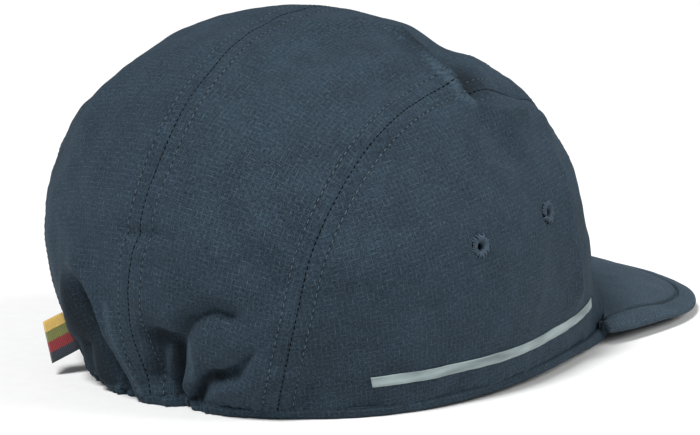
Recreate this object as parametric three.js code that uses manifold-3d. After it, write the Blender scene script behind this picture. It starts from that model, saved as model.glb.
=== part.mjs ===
// A cycling cap: five cloth panels on a gathered hem band, with a short stiff brim.
// Millimetres, +Z up, the brim towards -Y and the wearer's right towards -X.
import * as THREE from 'three';
import { mergeVertices } from 'three/addons/utils/BufferGeometryUtils.js';
import Module from 'manifold-3d';

// The crown
const rimLength = 206;
const rimWidth = 168;
const crownHeight = 128;
const clothWall = 1.4;
const seamGap = 0.4;
const foldDepth = 6;
const foldWidth = 12;

// The hem band, and how far the front of the rim stands above the surface
const frontLift = 16.3;
const hemHeight = 4.2;
const hemWall = 2.4;
const hemProud = 0.5;
const hemChamfer = 0.4;

// The brim
const brimReach = 49;
const brimWidth = 156;
const brimThickness = 3;
const brimSpring = 2;
const brimDome = 1.5;
const brimSeamInset = 4.2;
const brimGap = 0.4;

// The reflective strips, the eyelets and the ribbon
const stripRise = 13;
const stripWidth = 4.2;
const stripThickness = 0.5;
const trimGap = 0.35;
const eyeletWidth = 8;
const eyeletHole = 2.8;
const eyeletProud = 0.5;
const tagHeight = 14.5;
const tagReach = 9.2;
const tagLean = 3.6;
const tagPly = 0.7;
const tagLoop = 2.6;

const degrees = Math.PI / 180;
const wasm = await Module();
wasm.setup();

// A table is a list of column names and a row of values for each section or fold.
function table(columns, rows) {
  return rows.map((row) => Object.fromEntries(columns.map((name, k) => [name, row[k]])));
}

// Levels of the crown from the rim to the top, as shares of its height, length and width.
// The setback moves a level towards the back of the head, as a share of half the length.
const crownLevels = table(['rise', 'length', 'width', 'setback'], [
  [0.00, 0.985, 1.00, 0.02],
  [0.15, 0.99, 1.045, 0.10],
  [0.31, 0.985, 1.065, 0.165],
  [0.47, 0.95, 1.05, 0.205],
  [0.62, 0.87, 0.975, 0.235],
  [0.76, 0.745, 0.84, 0.262],
  [0.88, 0.555, 0.635, 0.285],
  [0.965, 0.30, 0.345, 0.30],
  [1.00, 0.00, 0.00, 0.305],
]);
const boxiness = 0.025;

// The rim rests flat at the back, leans up towards the front, and arches over the brow.
const restShare = -0.58;
const leanSoftness = 0.15;
const leanShare = 0.45;
const browAngle = 60;

// Folds: a path of turn (degrees from the front towards the wearer's right) and level pairs,
// then width and depth as shares of foldWidth and foldDepth. A depth below 0 is a crease.
const folds = table(['path', 'width', 'depth'], [
  [[[195, 0.30], [191, 0.25], [188.5, 0.19], [187.5, 0.11], [186, 0.05], [184.5, 0]], 0.5, 0.5],
  [[[200, 0.25], [204, 0.13], [200, 0.06], [193, 0.02]], 0.5, 0.4],
  [[[195, 0.24], [193, 0.17], [191, 0.11], [190, 0.04]], 0.42, -0.85],
  [[[172, 0.19], [167, 0.195], [162, 0.235], [158, 0.255], [153, 0.24]], 0.42, -0.5],
  [[[172, 0.19], [172, 0.13], [175, 0.08]], 0.35, -0.45],
  [[[167, 0.18], [166.5, 0.11], [170, 0.08], [169, 0]], 0.3, -0.65],
  [[[151, 0.155], [155, 0.126], [160, 0.115], [163, 0.07], [165.5, 0]], 0.34, -0.65],
  [[[161, 0.20], [157, 0.16]], 1, 0.45],
  [[[159, 0.08], [152, 0.09]], 0.75, 0.5],
  [[[130, 0.22], [136, 0.14], [141, 0.06]], 0.7, -0.35],
  [[[149, 0.36], [146, 0.34], [143, 0.30]], 0.5, -0.2],
  [[[180, 0.39], [171, 0.397]], 0.3, -0.25],
  [[[118, 0.92], [75, 0.90], [69, 0.85], [70, 0.80], [78, 0.75], [82, 0.70]], 0.5, 0.4],
  [[[82, 0.70], [82, 0.65], [77, 0.61], [68, 0.585], [52, 0.55]], 0.5, 0.4],
  [[[10, 0.70], [24, 0.735], [36, 0.755], [48, 0.775], [58, 0.782], [68, 0.75], [76, 0.68]],
    0.85, -0.46],
  [[[41, 0.56], [44, 0.48], [43, 0.40]], 0.9, 0.14],
  [[[136, 0.61], [131, 0.68], [122, 0.73], [112, 0.74], [101, 0.725]], 0.75, -0.35],
  [[[138, 0.62], [132, 0.71], [112, 0.79], [90, 0.795]], 0.75, 0.25],
  [[[156, 0.70], [152, 0.77], [140, 0.81], [124, 0.87]], 0.65, -0.25],
  [[[109, 0.585], [100, 0.63]], 0.6, -0.2],
  [[[81, 0.53], [75, 0.465]], 0.75, -0.35],
  [[[53, 0.52], [62, 0.43], [66, 0.36], [66, 0.25], [67, 0.17]], 0.6, 0.25],
  [[[-130, 0.22], [-136, 0.14], [-141, 0.06]], 0.7, -0.35],
  [[[-131, 0.68], [-122, 0.73], [-112, 0.74]], 0.75, -0.35],
  [[[-81, 0.53], [-75, 0.465]], 0.75, -0.35],
  [[[-52, 0], [-26, 0], [0, 0], [26, 0], [52, 0]], 0.7, 0.5],
]);

// The elastic draws the back of the hem into small even gathers on the hidden side.
const gatherFirst = 199;
const gatherLast = 211;
const gatherStep = 4;
for (let turn = gatherFirst; turn <= gatherLast; turn += gatherStep) {
  folds.push({ path: [[turn, 0.11], [turn, 0]], width: 0.22, depth: -0.35 });
}

// Seams on a disc whose rim is the hem and whose middle is the top of the crown:
// ahead is towards the brim and side is towards the wearer's right.
const disc = (rows) => rows.map(([ahead, side]) => new THREE.Vector2(ahead, side));
const seamTables = {
  middle: disc([
    [-1, 0], [-0.84, 0], [-0.67, 0.035], [-0.5, 0.052], [-0.3, 0.045], [-0.1, 0.02],
    [0.1, 0], [0.31, 0],
  ]),
  rearRight: disc([
    [-0.86, 0.513], [-0.72, 0.505], [-0.58, 0.48], [-0.46, 0.432], [-0.34, 0.392],
    [-0.17, 0.342], [0, 0.31], [0.17, 0.303], [0.34, 0.29],
  ]),
  templeRight: disc([[0.857, 0.515], [0.56, 0.41], [0.34, 0.29]]),
  frontRight: disc([[0.31, 0], [0.32, 0.15], [0.34, 0.29]]),
};

// Grid steps: along the hem of a side panel, up a side seam, and across half the front.
const hemSteps = 17;
const riseSteps = 13;
const crossSteps = 12;
const bandSteps = 96;
const rearShare = 0.42;

// Catmull-Rom value between the rows of a table at a place counted in rows
function blend(a, b, c, d, t) {
  const straight = 2 * b + (c - a) * t;
  const square = (2 * a - 5 * b + 4 * c - d) * t * t;
  return (straight + square + (3 * b - a - 3 * c + d) * t * t * t) / 2;
}

function crownLevel(level) {
  const last = crownLevels.length - 1;
  const place = Math.min(level, 1) * last;
  const i = Math.min(Math.max(Math.floor(place), 0), last - 1);
  const read = (name, k) => {
    const odd = name === 'length' || name === 'width';
    if (k < 0) return 2 * crownLevels[0][name] - crownLevels[1][name];
    if (k > last) return (odd ? -1 : 1) * crownLevels[last - 1][name];
    return crownLevels[k][name];
  };
  const value = (name) => blend(...[-1, 0, 1, 2].map((k) => read(name, i + k)), place - i);
  return Object.fromEntries(Object.keys(crownLevels[0]).map((name) => [name, value(name)]));
}

function hemLift(turn) {
  const lean = (forward) => {
    const run = Math.max(0, forward - restShare);
    return (run * run) / (run + leanSoftness);
  };
  const away = Math.abs(Math.atan2(Math.sin(turn), Math.cos(turn))) / (browAngle * degrees);
  const brow = away < 1 ? Math.cos((away * Math.PI) / 2) ** 2 : 0;
  return frontLift * ((leanShare * lean(Math.cos(turn))) / lean(1) + (1 - leanShare) * brow);
}

function smoothCrown(turn, level) {
  const at = crownLevel(level);
  const corner = 1 + boxiness * Math.sin(2 * turn) ** 2;
  const forward = ((at.length * Math.cos(turn) * corner - at.setback) * rimLength) / 2;
  const right = (at.width * Math.sin(turn) * corner * rimWidth) / 2;
  return new THREE.Vector3(-right, -forward, hemLift(turn) * (1 - at.rise) + crownHeight * at.rise);
}

const onDisc = (ahead, side) => smoothCrown(Math.atan2(side, ahead), 1 - Math.hypot(ahead, side));

function outward(ahead, side) {
  const step = 0.004;
  const along = onDisc(ahead + step, side).sub(onDisc(ahead - step, side));
  const across = onDisc(ahead, side + step).sub(onDisc(ahead, side - step));
  return across.cross(along).normalize();
}

for (const fold of folds) {
  fold.line = fold.path.map(([turn, level]) => smoothCrown(turn * degrees, level));
}

// How far the cloth stands off the smooth crown, from the nearest place on each fold
function foldHeight(place) {
  const nearest = new THREE.Vector3();
  const stretch = new THREE.Line3();
  let height = 0;
  for (const fold of folds) {
    let distance = Infinity;
    for (let k = 1; k < fold.line.length; k++) {
      stretch.set(fold.line[k - 1], fold.line[k]).closestPointToPoint(place, true, nearest);
      distance = Math.min(distance, nearest.distanceTo(place));
    }
    height += fold.depth * foldDepth * Math.exp(-((distance / (fold.width * foldWidth)) ** 2));
  }
  return height;
}

// A place on the cloth. Near the hem the folds move it level, so that the rim stays flat.
const levelledBelow = 0.12;
function cloth(spot, offset = 0) {
  const place = onDisc(spot.x, spot.y);
  const normal = outward(spot.x, spot.y);
  const level = 1 - Math.hypot(spot.x, spot.y);
  const push = normal.clone();
  push.z *= Math.min(1, Math.max(0, level / levelledBelow));
  return place.clone().addScaledVector(push.normalize(), foldHeight(place)).addScaledVector(normal, offset);
}

const spotAt = (turn, level) =>
  new THREE.Vector2((1 - level) * Math.cos(turn), (1 - level) * Math.sin(turn));

// The level that lies a distance above the hem edge
function levelAbove(turn, distance) {
  const sample = 0.1;
  return (distance * sample) / smoothCrown(turn, 0).distanceTo(smoothCrown(turn, sample));
}

const panelStart = (turn) => levelAbove(turn, hemHeight + seamGap);

// A seam from where it leaves the hem band, or whole where it doesn't reach the hem
function seamLine(points, mirrored, fromHem) {
  const flip = mirrored ? -1 : 1;
  const spline = new THREE.SplineCurve(points.map((p) => new THREE.Vector2(p.x, p.y * flip)));
  let start = 0;
  if (fromHem) {
    const inside = (share) => {
      const p = spline.getPointAt(share);
      return 1 - p.length() > panelStart(Math.atan2(p.y, p.x));
    };
    let low = 0;
    let high = 0.5;
    for (let k = 0; k < 30; k++) {
      const middle = (low + high) / 2;
      if (inside(middle)) high = middle;
      else low = middle;
    }
    start = high;
  }
  return (share) => spline.getPointAt(start + (1 - start) * share);
}

const steps = (count) => Array.from({ length: count + 1 }, (_, k) => k / count);
const riseShares = steps(riseSteps).map((share) => rearShare * share ** 1.15);
const overShares = steps(hemSteps).map((share) => rearShare + (1 - rearShare) * share);
const seamShares = [...riseShares, ...overShares.slice(1)];

// Shifts a row of spots on the disc sideways by half the seam gap, towards a spot inside.
function offSeam(spots, inside) {
  const small = 0.002;
  return spots.map((spot, k) => {
    const before = spots[Math.max(0, k - 1)];
    const after = spots[Math.min(spots.length - 1, k + 1)];
    const along = after.clone().sub(before).normalize();
    const away = new THREE.Vector2(-along.y, along.x);
    if (away.dot(inside.clone().sub(spot)) < 0) away.negate();
    const here = onDisc(spot.x, spot.y);
    const run = onDisc(spot.x + along.x * small, spot.y + along.y * small).sub(here).normalize();
    const move = onDisc(spot.x + away.x * small, spot.y + away.y * small).sub(here);
    const width = move.addScaledVector(run, -move.dot(run)).length() / small;
    return away.multiplyScalar(seamGap / 2 / width);
  });
}

// A panel between four edges on the disc. Each seam edge gives way by half the gap, and a
// corner of two seams gives way to both.
function panelSpots({ bottom, top, left, right, inside }) {
  const shifts = {
    left: offSeam(left, inside),
    right: offSeam(right, inside),
    top: offSeam(top, inside),
  };
  const moved = (spots, shift) => spots.map((spot, k) => spot.clone().add(shift[k]));
  const edges = {
    left: moved(left, shifts.left),
    right: moved(right, shifts.right),
    top: moved(top, shifts.top),
    bottom: bottom.map((spot) => spot.clone()),
  };
  const lastRow = left.length - 1;
  const lastColumn = top.length - 1;
  edges.top[0].add(shifts.left[lastRow]);
  edges.top[lastColumn].add(shifts.right[lastRow]);
  edges.left[lastRow].copy(edges.top[0]);
  edges.right[lastRow].copy(edges.top[lastColumn]);
  edges.bottom[0].copy(edges.left[0]);
  edges.bottom[lastColumn].copy(edges.right[0]);
  return left.map((_, i) => top.map((_, j) => {
    const [s, t] = [j / lastColumn, i / lastRow];
    const spot = edges.bottom[j].clone().multiplyScalar(1 - t).addScaledVector(edges.top[j], t);
    spot.addScaledVector(edges.left[i], 1 - s).addScaledVector(edges.right[i], s);
    spot.addScaledVector(edges.bottom[0], -(1 - s) * (1 - t));
    spot.addScaledVector(edges.bottom[lastColumn], -s * (1 - t));
    spot.addScaledVector(edges.top[0], -(1 - s) * t);
    return spot.addScaledVector(edges.top[lastColumn], -s * t);
  }));
}

function hemRow(from, to, shares) {
  const first = Math.atan2(from.y, from.x);
  const sweep = Math.atan2(from.x * to.y - from.y * to.x, from.dot(to));
  return shares.map((share) => {
    const turn = first + sweep * share;
    return spotAt(turn, panelStart(turn));
  });
}

// Turns a list of points and triangles into a geometry whose faces point out.
function body(points, faces) {
  let volume = 0;
  for (let k = 0; k < faces.length; k += 3) {
    const [a, b, c] = [0, 1, 2].map((n) => points[faces[k + n]]);
    volume += a.dot(b.clone().cross(c));
  }
  const turned = volume < 0 ? faces.slice().reverse() : faces;
  const geometry = new THREE.BufferGeometry().setFromPoints(points);
  geometry.setIndex(turned);
  geometry.computeVertexNormals();
  return geometry;
}

// A closed body between two grids of points with the same rows and columns
function between(upper, lower) {
  const rows = upper.length;
  const columns = upper[0].length;
  const faces = [];
  const quad = (a, b, c, d) => faces.push(a, b, c, a, c, d);
  const over = (i, j) => i * columns + j;
  const under = (i, j) => rows * columns + over(i, j);
  for (let i = 0; i < rows - 1; i++) {
    for (let j = 0; j < columns - 1; j++) {
      quad(over(i, j), over(i, j + 1), over(i + 1, j + 1), over(i + 1, j));
      quad(under(i, j), under(i + 1, j), under(i + 1, j + 1), under(i, j + 1));
    }
  }
  const wall = (from, to) => quad(under(...from), under(...to), over(...to), over(...from));
  for (let j = 0; j < columns - 1; j++) {
    wall([0, j], [0, j + 1]);
    wall([rows - 1, j + 1], [rows - 1, j]);
  }
  for (let i = 0; i < rows - 1; i++) {
    wall([i + 1, 0], [i, 0]);
    wall([i, columns - 1], [i + 1, columns - 1]);
  }
  return body([...upper.flat(), ...lower.flat()], faces);
}

// A closed ring through sections that have the same number of points
function ring(sections) {
  const size = sections[0].length;
  const faces = [];
  sections.forEach((_, i) => {
    const next = (i + 1) % sections.length;
    for (let j = 0; j < size; j++) {
      const k = (j + 1) % size;
      faces.push(i * size + j, next * size + j, next * size + k);
      faces.push(i * size + j, next * size + k, i * size + k);
    }
  });
  return body(sections.flat(), faces);
}

function panel(edges) {
  const spots = panelSpots(edges);
  const skin = (offset) => spots.map((row) => row.map((spot) => cloth(spot, offset)));
  return between(skin(0), skin(-clothWall));
}

function sidePanel(mirrored) {
  const rear = seamLine(seamTables.rearRight, mirrored, true);
  const temple = seamLine(seamTables.templeRight, mirrored, true);
  const left = riseShares.map(rear);
  const right = steps(riseSteps).map(temple);
  return panel({
    left,
    right,
    top: overShares.map(rear),
    bottom: hemRow(left[0], right[0], steps(hemSteps)),
    inside: new THREE.Vector2(0, mirrored ? -0.7 : 0.7),
  });
}

function topPanel(mirrored) {
  const middle = seamLine(seamTables.middle, false, true);
  const rear = seamLine(seamTables.rearRight, mirrored, true);
  const front = seamLine(seamTables.frontRight, mirrored, false);
  const left = seamShares.map(middle);
  const right = seamShares.map(rear);
  return panel({
    left,
    right,
    top: steps(crossSteps).map(front),
    bottom: hemRow(left[0], right[0], steps(crossSteps)),
    inside: new THREE.Vector2(-0.3, mirrored ? -0.2 : 0.2),
  });
}

function frontPanel() {
  const sides = [true, false].map((mirrored) => seamLine(seamTables.templeRight, mirrored, true));
  const [left, right] = sides.map((side) => steps(riseSteps).map(side));
  const half = steps(crossSteps);
  const [topLeft, topRight] = [true, false].map((mirrored) => {
    return half.map(seamLine(seamTables.frontRight, mirrored, false));
  });
  return panel({
    left,
    right,
    top: [...topLeft.reverse(), ...topRight.slice(1)],
    bottom: hemRow(left[0], right[0], steps(2 * crossSteps)),
    inside: new THREE.Vector2(0.7, 0),
  });
}

// The band's foot and head at a turn. Its foot is level, and its head is square to the cloth.
function bandFrame(turn) {
  const top = spotAt(turn, levelAbove(turn, hemHeight));
  const foot = cloth(spotAt(turn, 0)).setZ(hemLift(turn));
  const out = outward(Math.cos(turn), Math.sin(turn)).setZ(0).normalize();
  return { foot, head: cloth(top), out, headOut: outward(top.x, top.y) };
}

// More of the band's sections stand at the gathered back than at the front.
const backCrowding = 0.55;
function hemBand() {
  const inner = hemProud - hemWall;
  const bevel = hemChamfer / hemHeight;
  const section = table(['up', 'out'], [
    [0, hemProud - hemChamfer], [bevel, hemProud], [1 - bevel, hemProud], [1, hemProud - hemChamfer],
    [1, inner + hemChamfer], [1 - bevel, inner], [bevel, inner], [0, inner + hemChamfer],
  ]);
  return ring(steps(bandSteps).slice(1).map((share) => {
    const round = share * 2 * Math.PI;
    const { foot, head, out, headOut } = bandFrame(round + backCrowding * Math.sin(round));
    return section.map((at) => {
      const high = head.clone().addScaledVector(headOut, at.out);
      return foot.clone().addScaledVector(out, at.out).lerp(high, at.up);
    });
  }));
}

// The brim runs from the band to an edge that is a blunt oval seen from above.
const brimAngle = 57;
const brimPower = 2.5;
const brimMiddle = 88;
const brimRear = 84;
const brimStations = 36;
const brimRoots = 5;
const edgeRows = table(['inset', 'top', 'bottom'], [
  [0, 0.6, 0.3], [0.1, 0.88, 0], [0.35, 1, 0], [0.8, 0.98, 0], [1, 0.82, 0], [1.3, 1, 0],
]);

function brimEdge(share) {
  const end = bandFrame(brimAngle * degrees).foot;
  const back = (brimMiddle + end.y) / brimRear;
  const most = Math.PI / 2 + Math.asin(back ** (brimPower / 2));
  const turn = share * most;
  const power = (value) => Math.sign(value) * Math.abs(value) ** (2 / brimPower);
  const front = bandFrame(0).foot.y - brimReach;
  const length = Math.cos(turn) > 0 ? -front - brimMiddle : brimRear;
  const away = Math.abs(share);
  const spring = brimSpring * Math.cos((Math.min(1, away / 0.45) * Math.PI) / 2) ** 2;
  const tail = hemLift(brimAngle * degrees) * Math.max(0, (away - 0.62) / 0.38) ** 2;
  return new THREE.Vector3(
    (-power(Math.sin(turn)) * brimWidth) / 2,
    -(brimMiddle + length * power(Math.cos(turn))),
    spring + tail,
  );
}

function brim() {
  const shares = steps(brimStations).map((share) => 2 * share - 1);
  const rows = shares.map((share) => {
    const { foot, out } = bandFrame(share * brimAngle * degrees);
    const root = foot.clone().addScaledVector(out, hemProud + brimGap);
    root.z += brimGap;
    const edge = brimEdge(share);
    const width = Math.hypot(edge.x - root.x, edge.y - root.y);
    const squeeze = Math.min(1, width / (brimSeamInset * 2.2));
    const scale = (brimSeamInset * squeeze) / width;
    const insets = edgeRows.map((row) => ({ ...row, share: row.inset * scale }));
    const inner = insets[insets.length - 1].share;
    const shareAt = (t) => inner + (1 - inner) * t;
    const roots = steps(brimRoots).slice(1).map((t) => ({ share: shareAt(t), top: 1, bottom: 0 }));
    const dome = brimDome * squeeze;
    return [...insets, ...roots].map((row) => {
      const place = edge.clone().lerp(root, row.share);
      place.z += dome * Math.sin(Math.PI * row.share) ** 2;
      return { place, row };
    });
  });
  const skin = (side) => rows.map((row) => row.map(({ place, row: at }) => {
    return place.clone().setZ(place.z + at[side] * brimThickness);
  }));
  return between(skin('top'), skin('bottom'));
}

// A strip that lies on the cloth a fixed rise above the hem edge
const stripFromAngle = 128;
const stripToAngle = 57;
const stripSteps = 30;
function reflectiveStrip(mirrored) {
  const flip = mirrored ? -1 : 1;
  const skin = (offset) => steps(stripSteps).map((share) => {
    const turn = flip * (stripFromAngle + (stripToAngle - stripFromAngle) * share) * degrees;
    const rises = [stripRise, stripRise + stripWidth];
    return rises.map((rise) => cloth(spotAt(turn, levelAbove(turn, rise)), offset));
  });
  return between(skin(trimGap + stripThickness), skin(trimGap));
}

// A frame on the cloth with its Y axis pointing out of the cap
function clothFrame(turn, level) {
  const spot = spotAt(turn, level);
  const out = outward(spot.x, spot.y);
  const up = new THREE.Vector3(0, 0, 1).addScaledVector(out, -out.z).normalize();
  const across = new THREE.Vector3().crossVectors(out, up);
  return new THREE.Matrix4().makeBasis(across, out, up).setPosition(cloth(spot));
}

const eyelets = table(['name', 'turn', 'level'], [
  ['eyelet_right_front', 74, 0.368],
  ['eyelet_right_rear', 99, 0.347],
  ['eyelet_left_front', -74, 0.368],
  ['eyelet_left_rear', -99, 0.347],
]);
const eyeletSides = 16;

function eyelet() {
  const [outer, hole] = [eyeletWidth / 2, eyeletHole / 2];
  const [high, low] = [eyeletProud, -clothWall - eyeletProud];
  const half = (high + low) / 2;
  const lip = eyeletProud;
  const profile = [
    [hole, half], [hole + lip, low], [outer - lip, low], [outer, half], [outer - lip, high],
    [hole + lip, high], [hole, half],
  ];
  return new THREE.LatheGeometry(profile.map(([x, y]) => new THREE.Vector2(x, y)), eyeletSides);
}

function solidOf(geometry) {
  const bare = geometry.clone();
  bare.deleteAttribute('normal');
  bare.deleteAttribute('uv');
  const merged = mergeVertices(bare, 1e-4);
  return new wasm.Manifold(new wasm.Mesh({
    numProp: 3,
    vertProperties: new Float32Array(merged.attributes.position.array),
    triVerts: new Uint32Array(merged.index.array),
  }));
}

// Cuts a round hole for each eyelet through a side panel.
function cutHoles(geometry, side) {
  const depth = 6 * (clothWall + eyeletProud);
  let solid = solidOf(geometry);
  for (const at of eyelets.filter((row) => Math.sign(row.turn) === side)) {
    const drill = new THREE.CylinderGeometry(
      eyeletWidth / 2 + trimGap, eyeletWidth / 2 + trimGap, depth, eyeletSides,
    );
    solid = solid.subtract(solidOf(drill.applyMatrix4(clothFrame(at.turn * degrees, at.level))));
  }
  const { vertProperties, triVerts } = solid.getMesh();
  const cut = new THREE.BufferGeometry();
  cut.setAttribute('position', new THREE.BufferAttribute(vertProperties, 3));
  cut.setIndex(new THREE.BufferAttribute(triVerts, 1));
  cut.computeVertexNormals();
  return cut;
}

// The ribbon is folded over into a loop that stands out from the left rear seam,
// a little further at its foot than at its head.
const tagLow = 8.2;
function tagFrame() {
  const rear = seamLine(seamTables.rearRight, true, true);
  const rise = tagLow + tagHeight / 2;
  let share = 0;
  while (onDisc(rear(share).x, rear(share).y).z < rise) share += 0.002;
  const [low, middle, high] = [-0.03, 0, 0.03].map((step) => rear(share + step));
  const up = cloth(high).sub(cloth(low)).normalize();
  const out = outward(middle.x, middle.y);
  out.addScaledVector(up, -out.dot(up)).normalize();
  const across = new THREE.Vector3().crossVectors(up, out);
  const start = cloth(middle, 2 * trimGap).addScaledVector(up, -tagHeight / 2);
  return new THREE.Matrix4().makeBasis(out, across, up.clone()).setPosition(start);
}

function tagLoopBody() {
  const bend = tagLoop / 2;
  const gapHalf = bend - tagPly;
  const outline = new THREE.Shape();
  outline.moveTo(0, -tagPly - 0.1);
  outline.lineTo(tagReach - bend, -bend);
  outline.absarc(tagReach - bend, 0, bend, -Math.PI / 2, Math.PI / 2, false);
  outline.lineTo(0, tagPly + 0.1);
  outline.lineTo(0, 0.1);
  outline.lineTo(tagReach - bend, gapHalf);
  outline.absarc(tagReach - bend, 0, gapHalf, Math.PI / 2, -Math.PI / 2, true);
  outline.lineTo(0, -0.1);
  outline.closePath();
  const ribbon = new THREE.ExtrudeGeometry(outline, {
    depth: tagHeight, bevelEnabled: false, curveSegments: 6,
  });
  const at = ribbon.getAttribute('position');
  for (let k = 0; k < at.count; k++) {
    const lean = tagLean * (0.5 - at.getZ(k) / tagHeight);
    at.setX(k, at.getX(k) * (1 + lean / tagReach));
  }
  return ribbon;
}

const finishes = {
  cloth: new THREE.MeshStandardMaterial({ color: '#36434f', roughness: 0.9, metalness: 0 }),
  hem: new THREE.MeshStandardMaterial({ color: '#2c3842', roughness: 0.9, metalness: 0 }),
  brim: new THREE.MeshStandardMaterial({ color: '#3c4a55', roughness: 0.85, metalness: 0 }),
  silver: new THREE.MeshStandardMaterial({ color: '#9aa6a8', roughness: 0.45, metalness: 0.2 }),
  thread: new THREE.MeshStandardMaterial({ color: '#404c57', roughness: 0.8, metalness: 0 }),
  ribbon: new THREE.MeshStandardMaterial({ color: '#a98f3f', roughness: 0.8, metalness: 0 }),
};

const cap = new THREE.Group();
function add(name, geometry, finish, frame) {
  const mesh = new THREE.Mesh(geometry, finish);
  mesh.name = name;
  if (frame) mesh.applyMatrix4(frame);
  cap.add(mesh);
}

add('front_panel', frontPanel(), finishes.cloth);
add('side_panel_right', cutHoles(sidePanel(false), 1), finishes.cloth);
add('side_panel_left', cutHoles(sidePanel(true), -1), finishes.cloth);
add('top_panel_right', topPanel(false), finishes.cloth);
add('top_panel_left', topPanel(true), finishes.cloth);
add('hem_band', hemBand(), finishes.hem);
add('brim', brim(), finishes.brim);
add('reflective_strip_right', reflectiveStrip(false), finishes.silver);
add('reflective_strip_left', reflectiveStrip(true), finishes.silver);
for (const at of eyelets) {
  add(at.name, eyelet(), finishes.thread, clothFrame(at.turn * degrees, at.level));
}
add('tag_loop', tagLoopBody(), finishes.ribbon, tagFrame());

// The origin is at the bottom centre of the whole cap.
cap.updateMatrixWorld(true);
const box = new THREE.Box3().setFromObject(cap);
const middle = box.getCenter(new THREE.Vector3());
cap.position.set(-middle.x, -middle.y, -box.min.z);

export default cap;
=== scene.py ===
import math

import bpy
import numpy as np
from mathutils import Matrix, Vector, noise


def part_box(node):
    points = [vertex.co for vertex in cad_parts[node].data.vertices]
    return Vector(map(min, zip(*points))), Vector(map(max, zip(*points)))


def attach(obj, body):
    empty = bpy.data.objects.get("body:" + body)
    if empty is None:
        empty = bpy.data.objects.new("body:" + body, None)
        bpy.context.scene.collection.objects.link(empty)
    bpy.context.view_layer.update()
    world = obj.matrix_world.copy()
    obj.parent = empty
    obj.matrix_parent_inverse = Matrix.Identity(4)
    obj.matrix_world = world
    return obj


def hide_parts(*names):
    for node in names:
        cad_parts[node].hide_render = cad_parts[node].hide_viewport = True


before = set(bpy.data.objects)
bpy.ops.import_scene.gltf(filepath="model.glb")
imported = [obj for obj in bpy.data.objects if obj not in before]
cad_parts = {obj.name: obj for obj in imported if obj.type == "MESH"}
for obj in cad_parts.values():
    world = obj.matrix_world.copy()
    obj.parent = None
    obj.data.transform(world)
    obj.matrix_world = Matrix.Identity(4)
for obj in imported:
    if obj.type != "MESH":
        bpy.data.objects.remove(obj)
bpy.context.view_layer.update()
scene = bpy.context.scene
scene.view_settings.view_transform = "Standard"

# The crown, in millimetres: x to the wearer's left, -y towards the brim, z up.
crown = {
    "rimLength": 206, "rimWidth": 168, "height": 128, "wall": 1.4, "boxiness": 0.025,
    "frontLift": 16.3, "restShare": -0.58, "leanSoftness": 0.15, "leanShare": 0.45,
    "browAngle": 60, "foldDepth": 6, "foldWidth": 12, "levelledBelow": 0.12,
}
hem = {"height": 4.2, "tuck": 1.2, "drop": 3.6, "dropAt": 56, "dropWidth": 11, "dropFade": 0.09,
       "valleyShare": 0.4, "valleyFade": 0.06, "crowding": 0.45}

# rise, length, width, setback of each level, from the rim to the top
crownLevels = np.array([
    (0.00, 0.985, 1.00, 0.02), (0.15, 0.99, 1.045, 0.10), (0.31, 0.985, 1.065, 0.165),
    (0.47, 0.95, 1.05, 0.205), (0.62, 0.87, 0.975, 0.235), (0.76, 0.745, 0.84, 0.262),
    (0.88, 0.555, 0.635, 0.285), (0.965, 0.30, 0.345, 0.30), (1.00, 0.00, 0.00, 0.305),
])

# Folds: (turn, level) pairs, width and depth as shares of foldWidth and foldDepth.
folds = [
    ([(195, 0.30), (191, 0.25), (188.5, 0.19), (187.5, 0.11), (186, 0.05), (184.5, 0)], 0.5, 0.5),
    ([(200, 0.25), (204, 0.13), (200, 0.06), (193, 0.02)], 0.5, 0.4),
    ([(195, 0.24), (193, 0.17), (191, 0.11), (190, 0.04)], 0.42, -0.85),
    ([(174, 0.172), (171, 0.168), (168, 0.17), (163.5, 0.222), (158, 0.246), (154, 0.235)], 0.4, -0.45),
    ([(174, 0.172), (175, 0.136), (175.5, 0.104), (177, 0.072)], 0.4, -0.4),
    ([(169, 0.144), (170, 0.112), (171, 0.088), (173, 0.06), (172.5, 0)], 0.3, -0.6),
    ([(156, 0.112), (161.5, 0.1), (165.5, 0.06), (168, 0.03), (171.5, 0)], 0.32, -0.55),
    ([(161, 0.20), (157, 0.16)], 1, 0.12),
    ([(159, 0.07), (150, 0.09)], 0.75, 0.35),
    ([(130, 0.22), (136, 0.14), (141, 0.06)], 0.7, -0.35),
    ([(149, 0.36), (146, 0.34), (143, 0.30)], 0.5, -0.2),
    ([(180, 0.39), (171, 0.397)], 0.3, -0.25),
    ([(118, 0.92), (75, 0.90), (69, 0.85), (70, 0.80), (78, 0.75), (82, 0.70)], 0.5, 0.4),
    ([(82, 0.70), (82, 0.65), (77, 0.61), (68, 0.585), (52, 0.55)], 0.5, 0.4),
    ([(10, 0.70), (24, 0.735), (36, 0.755), (48, 0.775), (58, 0.782), (68, 0.75), (76, 0.68)],
     0.85, -0.46),
    ([(41, 0.56), (44, 0.48), (43, 0.40)], 0.9, 0.14),
    ([(136, 0.61), (131, 0.68), (122, 0.73), (112, 0.74), (101, 0.725)], 0.75, -0.35),
    ([(138, 0.62), (132, 0.71), (112, 0.79), (90, 0.795)], 0.75, 0.25),
    ([(156, 0.70), (152, 0.77), (140, 0.81), (124, 0.87)], 0.65, -0.25),
    ([(109, 0.585), (100, 0.63)], 0.6, -0.2),
    ([(81, 0.53), (75, 0.465)], 0.75, -0.35),
    ([(53, 0.52), (62, 0.43), (66, 0.36), (66, 0.25), (67, 0.17)], 0.6, 0.25),
    ([(-130, 0.22), (-136, 0.14), (-141, 0.06)], 0.7, -0.35),
    ([(-131, 0.68), (-122, 0.73), (-112, 0.74)], 0.75, -0.35),
    ([(-81, 0.53), (-75, 0.465)], 0.75, -0.35),
    ([(-52, 0), (-26, 0), (0, 0), (26, 0), (52, 0)], 0.7, 0.5),
]
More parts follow.
